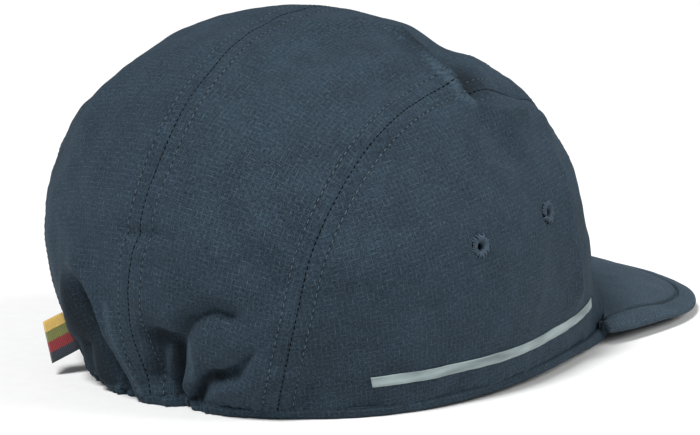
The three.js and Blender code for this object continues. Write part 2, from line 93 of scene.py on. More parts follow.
folds += [([(turn, 0.11), (turn, 0)], 0.22, -0.35) for turn in range(199, 212, 4)]

# Sharper creases over the folds: (turn, level) pairs, width and depth in millimetres
creases = [
    ([(195.5, 0.30), (191.5, 0.26), (189, 0.20), (188, 0.11), (187, 0.06), (185, 0.02)], 1.6, 0.9),
    ([(196, 0.24), (193, 0.17), (191, 0.115), (189.6, 0.07), (187, 0.01)], 3.4, -6.5),
    ([(174, 0.17), (171, 0.165), (168, 0.168), (165.5, 0.195), (163.5, 0.222), (160.5, 0.238),
      (158, 0.246), (154.5, 0.235)], 2.8, -2.9),
    ([(174, 0.176), (174.5, 0.15), (175.5, 0.104), (177, 0.072)], 3.2, -3.2),
    ([(168.5, 0.15), (169.5, 0.115), (171, 0.088), (173, 0.06), (173, 0.036), (172.5, 0)], 1.8, -4.6),
    ([(150, 0.176), (152.5, 0.144), (156, 0.112), (159, 0.098), (161.5, 0.1), (164, 0.08),
      (165.5, 0.06), (167.5, 0.036), (170, 0.016), (171.5, 0)], 1.8, -3.4),
    ([(165.5, 0.06), (166.5, 0.03), (167.5, 0)], 0.9, -1.2),
    ([(170.5, 0.065), (170.5, 0.03), (170.5, 0)], 0.8, 1.0),
    ([(176.5, 0.06), (175.5, 0.03), (175, 0)], 0.9, -1.3),
    ([(180, 0.39), (176, 0.394), (171, 0.40), (167, 0.395)], 1.1, -0.8),
    ([(68, 0.85), (73, 0.81), (77, 0.776), (81, 0.748), (82.5, 0.728), (83, 0.704), (84.5, 0.67),
      (82, 0.638), (74, 0.602), (64, 0.585)], 2.2, 2.2),
    ([(54, 0.762), (60, 0.742), (64.5, 0.718), (69, 0.692), (74, 0.672)], 4.2, -2.4),
    ([(76, 0.672), (69, 0.66), (58, 0.638), (46, 0.60)], 3.4, -2.0),
    ([(60, 0.46), (65, 0.38), (66.5, 0.30), (66, 0.22), (67, 0.16)], 2.2, 1.2),
    ([(57, 0.42), (62, 0.34), (63, 0.27), (62, 0.19)], 2.8, -1.0),
]
# Painted highlight on crests and painted shade in deep valleys: (turn, level) pairs, width in
# millimetres, strength
paintedShadingPaths = [
    ([(76, 0.824), (77.5, 0.788), (79.5, 0.772), (82.5, 0.748), (84.5, 0.724), (85, 0.70),
      (85.5, 0.664), (82.5, 0.636)], 0.75, 0.6),
    ([(73, 0.79), (70, 0.76), (66, 0.73), (66, 0.70), (74, 0.685)], 7.0, -0.8),
    ([(174, 0.164), (170, 0.16), (166, 0.19), (163.5, 0.218)], 3.4, -0.35),
    ([(175, 0.165), (175.5, 0.13), (177, 0.08)], 3.6, -0.4),
    ([(170, 0.14), (171, 0.11), (172.5, 0.07), (173, 0.02)], 2.2, -0.7),
    ([(159, 0.1), (164, 0.08), (168, 0.032), (172, 0.005)], 1.8, -0.7),
    ([(165.5, 0.165), (165.5, 0.116), (167, 0.08)], 1.2, 0.4),
    ([(202, 0.24), (199, 0.15), (197, 0.08), (196, 0)], 7.5, -0.75),
    ([(186.5, 0.23), (186, 0.18), (185, 0.104), (182.5, 0.03)], 1.1, 0.35),
]
# Small rings of pinched cloth at the hem: turn, level, radius and rise in millimetres
knots = [(190, 0.03, 2.5, 1.5), (168.5, 0.02, 1.8, 1.1)]

# Seams on a disc whose rim is the hem: ahead is towards the brim, side towards the right ear.
seamPoints = {
    "middle": [(-1, 0), (-0.84, 0), (-0.67, 0.035), (-0.5, 0.052), (-0.3, 0.045), (-0.1, 0.02),
               (0.1, 0), (0.31, 0)],
    "rear": [(-0.86, 0.513), (-0.72, 0.505), (-0.58, 0.48), (-0.46, 0.432), (-0.34, 0.392),
             (-0.17, 0.342), (0, 0.31), (0.17, 0.303), (0.34, 0.29)],
    "temple": [(0.857, 0.515), (0.56, 0.41), (0.34, 0.29)],
    "front": [(0.31, 0), (0.32, 0.15), (0.34, 0.29)],
}


def blend(a, b, c, d, t):
    straight = 2 * b + (c - a) * t
    square = (2 * a - 5 * b + 4 * c - d) * t * t
    return (straight + square + (3 * b - a - 3 * c + d) * t ** 3) / 2


def fade(value, low, high):
    t = np.clip((value - low) / (high - low), 0, 1)
    return t * t * (3 - 2 * t)


def bump(value, centre, width):
    return np.exp(-((value - centre) / width) ** 2)


def hemLift(turn):
    def lean(forward):
        run = np.maximum(0, forward - crown["restShare"])
        return run * run / (run + crown["leanSoftness"])
    away = np.abs(np.arctan2(np.sin(turn), np.cos(turn))) / math.radians(crown["browAngle"])
    brow = np.cos(np.minimum(away, 1) * math.pi / 2) ** 2
    share = crown["leanShare"]
    return crown["frontLift"] * (share * lean(np.cos(turn)) / lean(1.0) + (1 - share) * brow)


# The hem hangs a little lower where it meets the ends of the brim.
def cornerDrop(turn):
    away = np.degrees(np.abs(np.arctan2(np.sin(turn), np.cos(turn))))
    return hem["drop"] * bump(away, hem["dropAt"], hem["dropWidth"])


def smoothCrown(turn, level):
    turn, level = np.broadcast_arrays(np.asarray(turn, float), np.asarray(level, float))
    last = len(crownLevels) - 1
    rows = np.vstack([2 * crownLevels[0] - crownLevels[1], crownLevels,
                      crownLevels[-2] * (1, -1, -1, 1)])
    place = np.minimum(level, 1) * last
    i = np.clip(np.floor(place), 0, last - 1).astype(int)
    t = (place - i)[..., None]
    at = blend(rows[i], rows[i + 1], rows[i + 2], rows[i + 3], t)
    rise, length, width, setback = np.moveaxis(at, -1, 0)
    corner = 1 + crown["boxiness"] * np.sin(2 * turn) ** 2
    forward = (length * np.cos(turn) * corner - setback) * crown["rimLength"] / 2
    right = width * np.sin(turn) * corner * crown["rimWidth"] / 2
    up = hemLift(turn) * (1 - rise) + crown["height"] * rise
    return np.stack([-right, -forward, up], axis=-1)


def onDisc(spots):
    ahead, side = spots[..., 0], spots[..., 1]
    return smoothCrown(np.arctan2(side, ahead), 1 - np.hypot(ahead, side))


def unit(vectors):
    return vectors / np.linalg.norm(vectors, axis=-1, keepdims=True)


def outward(spots, step=0.004):
    along = onDisc(spots + (step, 0)) - onDisc(spots - (step, 0))
    across = onDisc(spots + (0, step)) - onDisc(spots - (0, step))
    return unit(np.cross(across, along))


def spotAt(turn, level):
    turn, level = np.broadcast_arrays(np.asarray(turn, float), np.asarray(level, float))
    return np.stack([(1 - level) * np.cos(turn), (1 - level) * np.sin(turn)], axis=-1)


def levelAbove(turn, distance, sample=0.1):
    gap = smoothCrown(turn, 0) - smoothCrown(turn, sample)
    return distance * sample / np.linalg.norm(gap, axis=-1)


# Distance from each place to a polyline, and how far along it the nearest place lies
def nearest(places, line):
    best = np.full(len(places), 1e9)
    arc = np.zeros(len(places))
    run = 0.0
    for a, b in zip(line[:-1], line[1:]):
        edge = b - a
        size = edge @ edge
        t = np.clip((places - a) @ edge / size, 0, 1)
        gap = np.linalg.norm(places - a - t[:, None] * edge, axis=1)
        closer = gap < best
        best = np.where(closer, gap, best)
        arc = np.where(closer, run + t * math.sqrt(size), arc)
        run += math.sqrt(size)
    return best, arc


def onCrown(path):
    turn, level = np.array(path, float).T
    return smoothCrown(np.radians(turn), level)


foldLines = [(onCrown(path), width * crown["foldWidth"], depth * crown["foldDepth"])
             for path, width, depth in folds]
creaseLines = [(onCrown(path), width, depth) for path, width, depth in creases]
paintedShadingLines = [(onCrown(path), width, strength) for path, width, strength in paintedShadingPaths]
knotPlaces = [(smoothCrown(math.radians(turn), level), radius, rise)
              for turn, level, radius, rise in knots]


# Painted shade in valleys and painted highlight on crests: the summed strengths of the paths near each
# place
def paintedShadingAt(places):
    return sum(strength * bump(nearest(places, line)[0], 0, width)
               for line, width, strength in paintedShadingLines)


def foldHeight(places):
    height = np.zeros(len(places))
    for line, width, depth in foldLines:
        height += depth * bump(nearest(places, line)[0], 0, width)
    for line, width, depth in creaseLines:
        distance, arc = nearest(places, line)
        height += depth * fade(arc, -2, 6) * np.exp(-(distance / width) ** 1.35)
    for centre, radius, rise in knotPlaces:
        distance = np.linalg.norm(places - centre, axis=1)
        height += rise * bump(distance, radius, radius * 0.42) - rise * bump(distance, 0, radius * 0.5)
    return height


class Seam:
    # A smooth curve through points on the disc, read by its share of arc length
    def __init__(self, points, mirrored=False, fromHem=True):
        points = np.array(points, float) * (1, -1 if mirrored else 1)
        rows = np.vstack([points[0], points, points[-1]])
        place = np.linspace(0, len(points) - 1, 900)
        i = np.minimum(place.astype(int), len(points) - 2)
        t = (place - i)[:, None]
        dense = blend(rows[i], rows[i + 1], rows[i + 2], rows[i + 3], t)
        if fromHem:
            turn = np.arctan2(dense[:, 1], dense[:, 0])
            start = levelAbove(turn, hem["height"] - hem["tuck"])
            dense = dense[np.argmax(1 - np.hypot(*dense.T) > start):]
        step = np.linalg.norm(np.diff(dense, axis=0), axis=1)
        self.arc = np.concatenate([[0], np.cumsum(step)]) / step.sum()
        self.dense = dense
        self.line = onDisc(dense[::6])
        run = np.linalg.norm(np.diff(onDisc(dense), axis=0), axis=1)
        self.length = run.sum()

    def at(self, shares):
        return np.stack([np.interp(shares, self.arc, self.dense[:, k]) for k in (0, 1)], axis=-1)


seams = {"middle": Seam(seamPoints["middle"])}
for mirrored, side in ((False, "Right"), (True, "Left")):
    seams["rear" + side] = Seam(seamPoints["rear"], mirrored)
    seams["temple" + side] = Seam(seamPoints["temple"], mirrored)
    seams["front" + side] = Seam(seamPoints["front"], mirrored, fromHem=False)
print("seams drawn")

# Raised seam allowances, the rows of stitches that hold them down, and the ditch between
sewing = {
    "rowAway": 5.0, "raise": 0.14, "ditchDepth": 0.12, "ditchWidth": 0.3,
    "rowDepth": 0.2, "rowWidth": 0.55, "pucker": 0.09, "puckerPitch": 6.2,
    "hemDitch": 0.1, "hemDitchWidth": 0.8, "hemWave": 0.14, "hemWaveReach": 5,
    "edgeFrom": 0.2, "edgeTo": 1.6, "puckerIn": 1.2, "puckerWidth": 2.6, "apart": 61.7,
}


def nearestSeam(places):
    best = np.full(len(places), 1e9)
    arc = np.zeros(len(places))
    for k, seam in enumerate(seams.values()):
        distance, along = nearest(places, seam.line)
        closer = distance < best
        best = np.where(closer, distance, best)
        arc = np.where(closer, along + sewing["apart"] * k, arc)
    return best, arc


# The soft crumple that a washed cotton shows between its folds
crumple = {"broad": (1.2, 34.0), "middle": (0.9, 15.0), "small": (0.3, 6.5)}


def crumpleHeight(places):
    height = np.zeros(len(places))
    for k, (size, scale) in enumerate(crumple.values()):
        shift = Vector((11.3 * k, 4.7 * k, 7.9 * k))
        height += size * np.array([noise.noise(Vector(p) / scale + shift) for p in places])
    return height


# The small relief of the sewn cloth over the smooth, folded crown
def relief(spots, places):
    distance, arc = nearestSeam(places)
    turn = np.arctan2(spots[:, 1], spots[:, 0])
    level = 1 - np.hypot(spots[:, 0], spots[:, 1])
    aboveHem = level / levelAbove(turn, 1.0) - hem["height"]
    wave = np.sin(arc * 2 * math.pi / sewing["puckerPitch"] + 2.1 * np.sin(arc / 17.0))
    wave += 0.6 * np.sin(arc * 2 * math.pi / (sewing["puckerPitch"] * 0.41) + 1.7 * np.sin(arc / 9))
    away = sewing["rowAway"]
    height = sewing["raise"] * (
        1 - fade(distance, away + sewing["edgeFrom"], away + sewing["edgeTo"]))
    height -= sewing["ditchDepth"] * bump(distance, 0, sewing["ditchWidth"])
    height -= sewing["rowDepth"] * bump(distance, away, sewing["rowWidth"])
    puckered = bump(distance, away - sewing["puckerIn"], sewing["puckerWidth"])
    height += sewing["pucker"] * wave * puckered * fade(distance, 0.3, 2)
    height -= sewing["hemDitch"] * bump(aboveHem, 0, sewing["hemDitchWidth"])
    hemWave = np.sin(turn * 95 + 2 * np.sin(turn * 13)) + np.sin(turn * 151 + np.sin(turn * 17))
    height += sewing["hemWave"] * hemWave * np.exp(-np.maximum(aboveHem, 0) / sewing["hemWaveReach"])
    return height, distance, arc


# Places on the cloth for spots on the disc; near the hem the folds move it level, and less.
def cloth(spots, offset=0.0, sewn=True):
    shape = spots.shape[:-1]
    spots = spots.reshape(-1, 2)
    places = onDisc(spots)
    normal = outward(spots)
    level = 1 - np.hypot(spots[:, 0], spots[:, 1])
    push = normal.copy()
    push[:, 2] *= np.clip(level / crown["levelledBelow"], 0, 1)
    folded = foldHeight(places)
    share = hem["valleyShare"]
    folded *= np.where(folded < 0, share + (1 - share) * fade(level, 0, hem["valleyFade"]), 1)
    moved = places + unit(push) * folded[:, None]
    seamMap = None
    lift = np.broadcast_to(np.asarray(offset, float), len(spots)).copy()
    if sewn:
        height, distance, arc = relief(spots, places)
        lift += height + crumpleHeight(places)
        seamMap = np.stack([arc, distance], axis=-1).reshape(*shape, 2)
    moved += normal * lift[:, None]
    hanging = 1 - fade(level, 0, hem["dropFade"])
    moved[:, 2] -= cornerDrop(np.arctan2(spots[:, 1], spots[:, 0])) * hanging
    return moved.reshape(*shape, 3), seamMap


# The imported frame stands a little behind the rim's own; the brim's front edge gives the shift.
brimShape = {
    "reach": 49, "width": 156, "thickness": 3, "spring": 2.4, "dome": 1.5, "seamInset": 7.6,
    "angle": 55.2, "power": 2.5, "middle": 88, "rear": 84, "tuck": 1.0, "rootRise": 0.4,
    "topRoll": 1.6, "bottomRoll": 1.2, "bottom": 0.45, "groove": 0.45, "grooveWidth": 0.7,
    "crumple": 0.35, "stations": 281, "innerRows": 43, "tailFrom": 0.62, "stitchLift": 0.06,
}
frontFoot = cloth(spotAt(0.0, 0.0)[None], sewn=False)[0][0]
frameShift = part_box("brim")[0].y * 1000 - (frontFoot[1] - brimShape["reach"])
print("frame shift", round(frameShift, 3))


def toFrame(points):
    return (np.asarray(points, float) + (0, frameShift, 0)) / 1000


def addObject(name, data):
    item = bpy.data.objects.new(name, data)
    scene.collection.objects.link(item)
    return item


def smoothMesh(name, points, faces, material):
    mesh = bpy.data.meshes.new(name)
    mesh.from_pydata(points.tolist(), [], faces.tolist())
    mesh.polygons.foreach_set("use_smooth", [True] * len(mesh.polygons))
    mesh.materials.append(material)
    return mesh


def meshObject(name, points, faces, maps, material):
    mesh = smoothMesh(name, toFrame(points), faces, material)
    corners = np.zeros(len(mesh.loops), int)
    mesh.loops.foreach_get("vertex_index", corners)
    for title, values in maps.items():
        layer = mesh.uv_layers.new(name=title)
        layer.data.foreach_set("uv", np.asarray(values, np.float32)[corners].ravel())
    mesh.update()
    return addObject(name, mesh)


# Turns faces round where they enclose a volume below nought.
def facingOut(points, faces):
    a, b, c = (points[faces[:, k]] for k in range(3))
    d = points[faces[:, 3]] if faces.shape[1] == 4 else a
    volume = (a * np.cross(b, c)).sum() + (a * np.cross(c, d)).sum()
    return faces[:, ::-1] if volume < 0 else faces


# Faces of a closed tube whose sections are closed rings
def tubeFaces(sections, size):
    index = np.arange(sections * size).reshape(sections, size)
    after = np.roll(index, -1, axis=0)
    quads = [index, after, np.roll(after, -1, axis=1), np.roll(index, -1, axis=1)]
    return np.stack(quads, -1).reshape(-1, 4)


# A closed shell between two grids; a mask leaves quads out, and walls close every border.
def shell(upper, lower, keep=None):
    rows, columns = upper.shape[:2]
    index = np.arange(rows * columns).reshape(rows, columns)
    keep = np.ones((rows - 1, columns - 1), bool) if keep is None else keep
    quads = np.stack([index[:-1, :-1], index[:-1, 1:], index[1:, 1:], index[1:, :-1]], -1)[keep]
    count = rows * columns
    edges = np.concatenate([quads[:, [k, (k + 1) % 4]] for k in range(4)])
    low, high = edges.min(1), edges.max(1)
    _, first, times = np.unique(low * count + high, return_index=True, return_counts=True)
    border = edges[first[times == 1]]
    walls = np.column_stack([border[:, 1], border[:, 0], border[:, 0] + count, border[:, 1] + count])
    faces = np.concatenate([quads, quads[:, ::-1] + count, walls])
    points = np.concatenate([upper.reshape(-1, 3), lower.reshape(-1, 3)])
    used, faces = np.unique(faces, return_inverse=True)
    faces = faces.reshape(-1, 4)
    return points[used], facingOut(points[used], faces), used % count


# Length run along a row of points, from nought
def runAlong(points):
    return np.concatenate([[0], np.cumsum(np.linalg.norm(np.diff(points, axis=0), axis=1))])


# Lays a grid of cloth flat: unrolled by rows, then eased until its lengths are true.
def layFlat(grid, rounds=900):
    rows, columns = grid.shape[:2]
    middle = columns // 2
    across = np.linalg.norm(np.diff(grid, axis=1), axis=2)
    run = np.concatenate([np.zeros((rows, 1)), np.cumsum(across, axis=1)], axis=1)
    flat = np.zeros((rows, columns, 2))
    flat[..., 0] = run - run[:, middle:middle + 1]
    flat[..., 1] = runAlong(grid[:, middle])[:, None]
    whole, tail, head = slice(None), slice(None, -1), slice(1, None)
    pairs = [((whole, tail), (whole, head)), ((tail, whole), (head, whole)),
             ((tail, tail), (head, head)), ((head, tail), (tail, head))]
    true = [np.linalg.norm(grid[a] - grid[b], axis=2) for a, b in pairs]
    for _ in range(rounds):
        move = np.zeros_like(flat)
        share = np.zeros((rows, columns, 1))
        for (a, b), length in zip(pairs, true):
            gap = flat[b] - flat[a]
            size = np.maximum(np.linalg.norm(gap, axis=2), 1e-6)
            pull = gap * (0.5 * (1 - length / size))[..., None]
            move[a] += pull
            move[b] -= pull
            share[a] += 1
            share[b] += 1
        flat += 1.6 * move / share
    return flat


# Shares along an edge of some length: close rows at both ends and an even step between
def spread(length, step, rim=(0.35, 0.8, 1.4, 2.2)):
    inner = np.linspace(rim[-1], length - rim[-1], max(3, int((length - 2 * rim[-1]) / step)))
    rim = np.array(rim[:-1])
    return np.concatenate([[0], rim, inner, length - rim[::-1], [length]]) / length


def coons(bottom, top, left, right, s, t):
    s, t = s[None, :, None], t[:, None, None]
    grid = bottom[None] * (1 - t) + top[None] * t + left[:, None] * (1 - s) + right[:, None] * s
    grid = grid - bottom[0] * (1 - s) * (1 - t) - bottom[-1] * s * (1 - t)
    return grid - top[0] * (1 - s) * t - top[-1] * s * t


def hemRow(first, last, s):
    turnFirst, turnLast = (math.atan2(p[1], p[0]) for p in (first, last))
    sweep = (turnLast - turnFirst + math.pi) % (2 * math.pi) - math.pi
    turn = turnFirst + sweep * s
    return spotAt(turn, levelAbove(turn, hem["height"] - hem["tuck"]))


eyeletShape = {"width": 8.0, "hole": 2.9, "threads": 46, "thread": 0.5, "rise": 0.75,
               "cut": 0.33}
eyeletSpots = {"eyelet_right_front": (74, 0.368), "eyelet_right_rear": (99, 0.347),
               "eyelet_left_front": (-74, 0.368), "eyelet_left_rear": (-99, 0.347)}
panelSteps = {"side": 1.0, "top": 1.15, "front": 1.15}
panelSpans = {"top": 74, "front": 150}
rearShare = 0.42


# Spots of a panel on the disc, from its four edges
def panelGrid(name, mirrored):
    side = "Left" if mirrored else "Right"
    step = panelSteps[name]
    if name == "side":
        rear, temple = seams["rear" + side], seams["temple" + side]
        t = spread(rearShare * rear.length, step)
        s = spread((1 - rearShare) * rear.length, step)
        left, right = rear.at(rearShare * t), temple.at(t)
        top = rear.at(rearShare + (1 - rearShare) * s)
    elif name == "top":
        middle, rear, front = seams["middle"], seams["rear" + side], seams["front" + side]
        t, s = spread(rear.length, step), spread(panelSpans[name], step)
        left, right, top = middle.at(t), rear.at(t), front.at(s)
    else:
        t = spread(seams["templeRight"].length, step)
        s = spread(panelSpans[name], step)
        left, right = seams["templeLeft"].at(t), seams["templeRight"].at(t)
        top = np.where((s < 0.5)[:, None], seams["frontLeft"].at(1 - 2 * s),
                       seams["frontRight"].at(2 * s - 1))
    left[-1], right[-1] = top[0], top[-1]
    bottom = hemRow(left[0], right[0], s)
    bottom[0], bottom[-1] = left[0], right[0]
    return coons(bottom, top, left, right, s, t)


# Carries values from a coarse grid, whose rows and columns are i and j, to the full grid
def resize(values, i, j, rows, columns):
    across = np.stack([[np.interp(np.arange(columns), j, row[:, k]) for k in (0, 1)]
                       for row in values])
    wide = np.moveaxis(across, 1, -1)
    return np.stack([[np.interp(np.arange(rows), i, wide[:, c, k]) for k in (0, 1)]
                     for c in range(columns)]).transpose(2, 0, 1)


flatSizes = {}
flatSamples = {"side": (26, 40), "top": (44, 30), "front": (26, 40)}


def makePanel(piece, kind, mirrored, material):
    spots = panelGrid(kind, mirrored)
    rows, columns = spots.shape[:2]
    upper, seamMap = cloth(spots)
    lower, _ = cloth(spots, -crown["wall"], sewn=False)
    i, j = (np.linspace(0, size - 1, count).round().astype(int)
            for size, count in zip((rows, columns), flatSamples[kind]))
    flat = layFlat(lower[np.ix_(i, j)])
    low, high = flat.min((0, 1)), flat.max((0, 1))
    steps = flat[1:, 1:] - flat[:-1, :-1]
    other = flat[1:, :-1] - flat[:-1, 1:]
    area = 0.5 * np.abs(steps[..., 0] * other[..., 1] - steps[..., 1] * other[..., 0]).sum()
    flatSizes[piece] = ((high - low) / 1000, area / 1e6)
    grain = resize(flat, i, j, rows, columns)
    keep = None
    if kind == "side":
        centre = (upper[:-1, :-1] + upper[1:, 1:]) / 2
        keep = np.ones(centre.shape[:2], bool)
        for turn, level in eyeletSpots.values():
            if (turn < 0) == mirrored:
                hole = cloth(spotAt(math.radians(turn), level)[None], sewn=False)[0][0]
                keep &= np.linalg.norm(centre - hole, axis=2) > eyeletShape["width"] * eyeletShape["cut"]
    points, faces, used = shell(upper, lower, keep)
    # Painted shade and painted highlight for each spot, handed to the shader in the tone map
    tone = paintedShadingAt(onDisc(spots.reshape(-1, 2)))
    maps = {"grain": grain.reshape(-1, 2)[used], "seam": seamMap.reshape(-1, 2)[used],
            "tone": np.stack([tone, tone], axis=-1)[used]}
    made = meshObject(piece, points, faces, maps, material)
    print(piece, len(faces) * 2, "triangles, flat", np.round(high - low, 1), "mm")
    return made


# Node maths: a wire is a socket that can be added, multiplied and so on.
class Wire:
    def __init__(self, nodes, socket):
        self.nodes, self.socket = nodes, socket

    def calc(self, operation, *values):
        return self.nodes.node("ShaderNodeMath", {"operation": operation}, values)

    def __add__(self, other):
        return self.calc("ADD", self, other)

    def __sub__(self, other):
        return self.calc("SUBTRACT", self, other)

    def __mul__(self, other):
        return self.calc("MULTIPLY", self, other)

    def __truediv__(self, other):
        return self.calc("DIVIDE", self, other)

    def __pow__(self, other):
        return self.calc("POWER", self, other)

    def __radd__(self, other):
        return self.calc("ADD", other, self)

    def __rsub__(self, other):
        return self.calc("SUBTRACT", other, self)

    def clamped(self):
        return self.calc("MINIMUM", self.calc("MAXIMUM", self, 0.0), 1.0)

    def sine(self):
        return self.calc("SINE", self)

    def size(self):
        return self.calc("ABSOLUTE", self)

    # 1 where the value is centre, falling smoothly away over width
    def near(self, centre, width):
        gap = (self - centre) / width
        return self.calc("EXPONENT", gap * gap * -1.0)


class Nodes:
    def __init__(self, tree):
        self.tree = tree

    # Settings come first, then the values or wires of the sockets, by place or by name.
    def node(self, kind, settings=None, sockets=(), output=0):
        made = self.tree.nodes.new(kind)
        for key, value in (settings or {}).items():
            setattr(made, key, value)
        for key, value in sockets.items() if isinstance(sockets, dict) else enumerate(sockets):
            if isinstance(value, Wire):
                self.tree.links.new(value.socket, made.inputs[key])
            else:
                made.inputs[key].default_value = value
        return Wire(self, made.outputs[output])

    def vector(self, x, y, z=0.0):
        return self.node("ShaderNodeCombineXYZ", None, [x, y, z])

    def end(self, kind, wire, socket):
        self.tree.links.new(wire.socket, self.tree.nodes.new(kind).inputs[socket])


class Finish(Nodes):
    def __init__(self, name):
        self.material = bpy.data.materials.new(name)
        self.material.use_nodes = True
        super().__init__(self.material.node_tree)
        self.tree.nodes.clear()

    def mapParts(self, title):
        uv = self.node("ShaderNodeUVMap", {"uv_map": title})
        return [self.node("ShaderNodeSeparateXYZ", None, [uv], k) for k in (0, 1)]

    def noise(self, place, scale, detail=2.0, rough=0.5):
        return self.node("ShaderNodeTexNoise", None, {
            "Vector": place, "Scale": scale, "Detail": detail, "Roughness": rough})

    def mix(self, share, first, second):
        return self.node("ShaderNodeMix", {"data_type": "RGBA"}, {0: share, 6: first, 7: second}, 2)

    def finish(self, colour, roughness, height, strength, distance, **constants):
        normal = self.node("ShaderNodeBump", None, {
            "Strength": strength, "Distance": distance, "Height": height})
        values = {"Base Color": colour, "Roughness": roughness, "Normal": normal}
        values.update({key.replace("_", " "): value for key, value in constants.items()})
        surface = self.node("ShaderNodeBsdfPrincipled", None, values)
        self.end("ShaderNodeOutputMaterial", surface, "Surface")
        return self.material


def srgb(*levels):
    return (*(((v / 255 + 0.055) / 1.055) ** 2.4 if v > 10 else v / 255 / 12.92 for v in levels), 1)


# hole is the near-black of all painted shade: seam rows and ditch, wrinkles, fold valleys and the brim
# groove; grid also gives the painted highlight on fold crests
clothLook = {
    "dark": srgb(4, 11, 18), "light": srgb(47, 64, 77), "grid": srgb(86, 106, 119),
    "hole": srgb(4, 7, 10), "gridPitch": 1.7, "gridWidth": 0.18, "yarn": 0.34,
    "roughness": 0.88, "yarnWeight": 1.5, "cloudWeight": 0.5, "fleckWeight": 2.4, "fleckScale": 4.2,
}


# The rows, the ditch and the pinched cloth between them, as the shader draws them, with painted shade in
# rows, ditch and wrinkles, in fold valleys and in the brim's groove, and a painted highlight on fold
# crests
seamLook = {
    "rowWidth": 0.34, "rowShade": 0.42, "pulseShade": 0.45, "ditchWidth": 0.35, "ditchShade": 0.06,
    "between": 2.6, "betweenWidth": 2.4, "wrinkleShade": 1.4, "stitchDepth": 0.6, "wrinkle": 3.5,
    "valley": -0.9, "crest": 0.5, "groove": 0.55, "grooveWidth": 0.8,
}


# Ripstop: uneven yarns both ways, and a heavier line every gridPitch
def ripstop(name, look, gridShare=0.4, sewn=True, paintedGrooveShade=False):
    made, drawn = Finish(name), seamLook
    u, v = made.mapParts("grain")
    pitch, yarn = look["gridPitch"], look["yarn"]
    warp = made.noise(made.vector(u * (1 / yarn), v * 0.9), 1.0, 2.0, 0.6)
    weft = made.noise(made.vector(u * 0.9, v * (1 / yarn), 7.0), 1.0, 2.0, 0.6)
    cloudy = made.noise(made.vector(u, v, 3.0), 0.09, 3.0, 0.55)
    fleck = made.noise(made.vector(u, v, 5.0), look["fleckScale"], 2.0, 0.6)

    def lines(across, along, shift):
        wander = made.noise(made.vector(across * 0.5, along * 0.11, shift), 1.0, 1.0)
        cell = (across + (wander - 0.5) * 0.5) / pitch
        near = (cell - cell.calc("ROUND", cell)).size() * (pitch / look["gridWidth"])
        worn = made.noise(made.vector(across * (1 / pitch), along * 0.3, shift + 4), 1.0, 2.0)
        return (1 - near).clamped() * ((worn - 0.42) * 4.0).clamped()

    gridU, gridV = lines(u, v, 11.0), lines(v, u, 23.0)
    grid = gridU.calc("MAXIMUM", gridU, gridV)
    yarnWeight = look["yarnWeight"]
    tone = (0.5 + (warp - 0.5) * yarnWeight + (weft - 0.5) * yarnWeight
            + (cloudy - 0.5) * look["cloudWeight"] + (fleck - 0.5) * look["fleckWeight"]).clamped()
    colour = made.mix(tone, look["dark"], look["light"])
    colour = made.mix(grid * gridShare, colour, look["grid"])
    weave = (u * (2 * math.pi / yarn)).sine() * (v * (2 * math.pi / yarn)).sine()
    height = warp * 0.5 + weft * 0.5 + grid * 0.25 + weave * 0.18 + fleck * 0.5
    if sewn:
        arc, distance = made.mapParts("seam")
        pulse = ((arc * (2 * math.pi / stitchSizes["topStitches"][0])).sine() * 0.5 + 0.5) ** 2.0
        row = distance.near(sewing["rowAway"], drawn["rowWidth"])
        ditch = distance.near(0.0, drawn["ditchWidth"])
        wrinkle = made.noise(made.vector(arc * 0.42, distance * 0.16, 9.0), 1.0, 2.0, 0.55)
        between = distance.near(drawn["between"], drawn["betweenWidth"])
        # Painted shade along the stitch rows and in the seam ditch, and patches of painted shade over
        # the wrinkles between the rows
        shade = (row * (drawn["rowShade"] + pulse * drawn["pulseShade"]) + ditch * drawn["ditchShade"]
                 + between * (wrinkle - 0.5) * drawn["wrinkleShade"]).clamped()
        colour = made.mix(shade, colour, look["hole"])
        height = height - row * pulse * drawn["stitchDepth"] + between * wrinkle * drawn["wrinkle"]
        # Painted shade in fold valleys and a painted highlight on fold crests, read from the tone map
        tone, _ = made.mapParts("tone")
        colour = made.mix((tone * drawn["valley"]).clamped(), colour, look["hole"])
        colour = made.mix((tone * drawn["crest"]).clamped(), colour, look["grid"])
    if paintedGrooveShade:
        # Painted shade in the brim's stitched groove
        _, inset = made.mapParts("rim")
        groove = inset.near(brimShape["seamInset"], drawn["grooveWidth"]) * drawn["groove"]
        colour = made.mix(groove, colour, look["hole"])
    return made.finish(colour, look["roughness"], height, 0.55, 0.00022,
                       Sheen_Weight=0.06, Sheen_Roughness=0.45, Specular_IOR_Level=0.2,
                       Sheen_Tint=srgb(120, 160, 190))


# Pitch, length and thickness of each kind of stitch
stitchSizes = {"topStitches": (2.7, 1.7, 0.4), "ditchStitches": (2.1, 1.35, 0.56),
               "hemStitches": (2.8, 1.7, 0.4), "brimStitches": (2.4, 1.9, 0.36)}
stitchSeed = 7

panelCloth = ripstop("ripstopCloth", clothLook)
hemCloth = ripstop("hemCloth", clothLook, sewn=False)
brimLook = dict(clothLook, dark=srgb(13, 22, 30), light=srgb(64, 80, 92))
brimCloth = ripstop("brimCloth", brimLook, 0.25, sewn=False, paintedGrooveShade=True)


def threadFinish(name, dark, light, shine):
    made = Finish(name)
    place = made.node("ShaderNodeTexCoord", None, (), "Object")
    twist = made.noise(place, 2600.0, 2.0)
    broad = made.noise(place, 60.0, 1.0)
    colour = made.mix((twist * 0.6 + broad * 0.5).clamped(), dark, light)
    return made.finish(colour, 0.7, twist, 0.4, 0.0001, Specular_IOR_Level=shine)


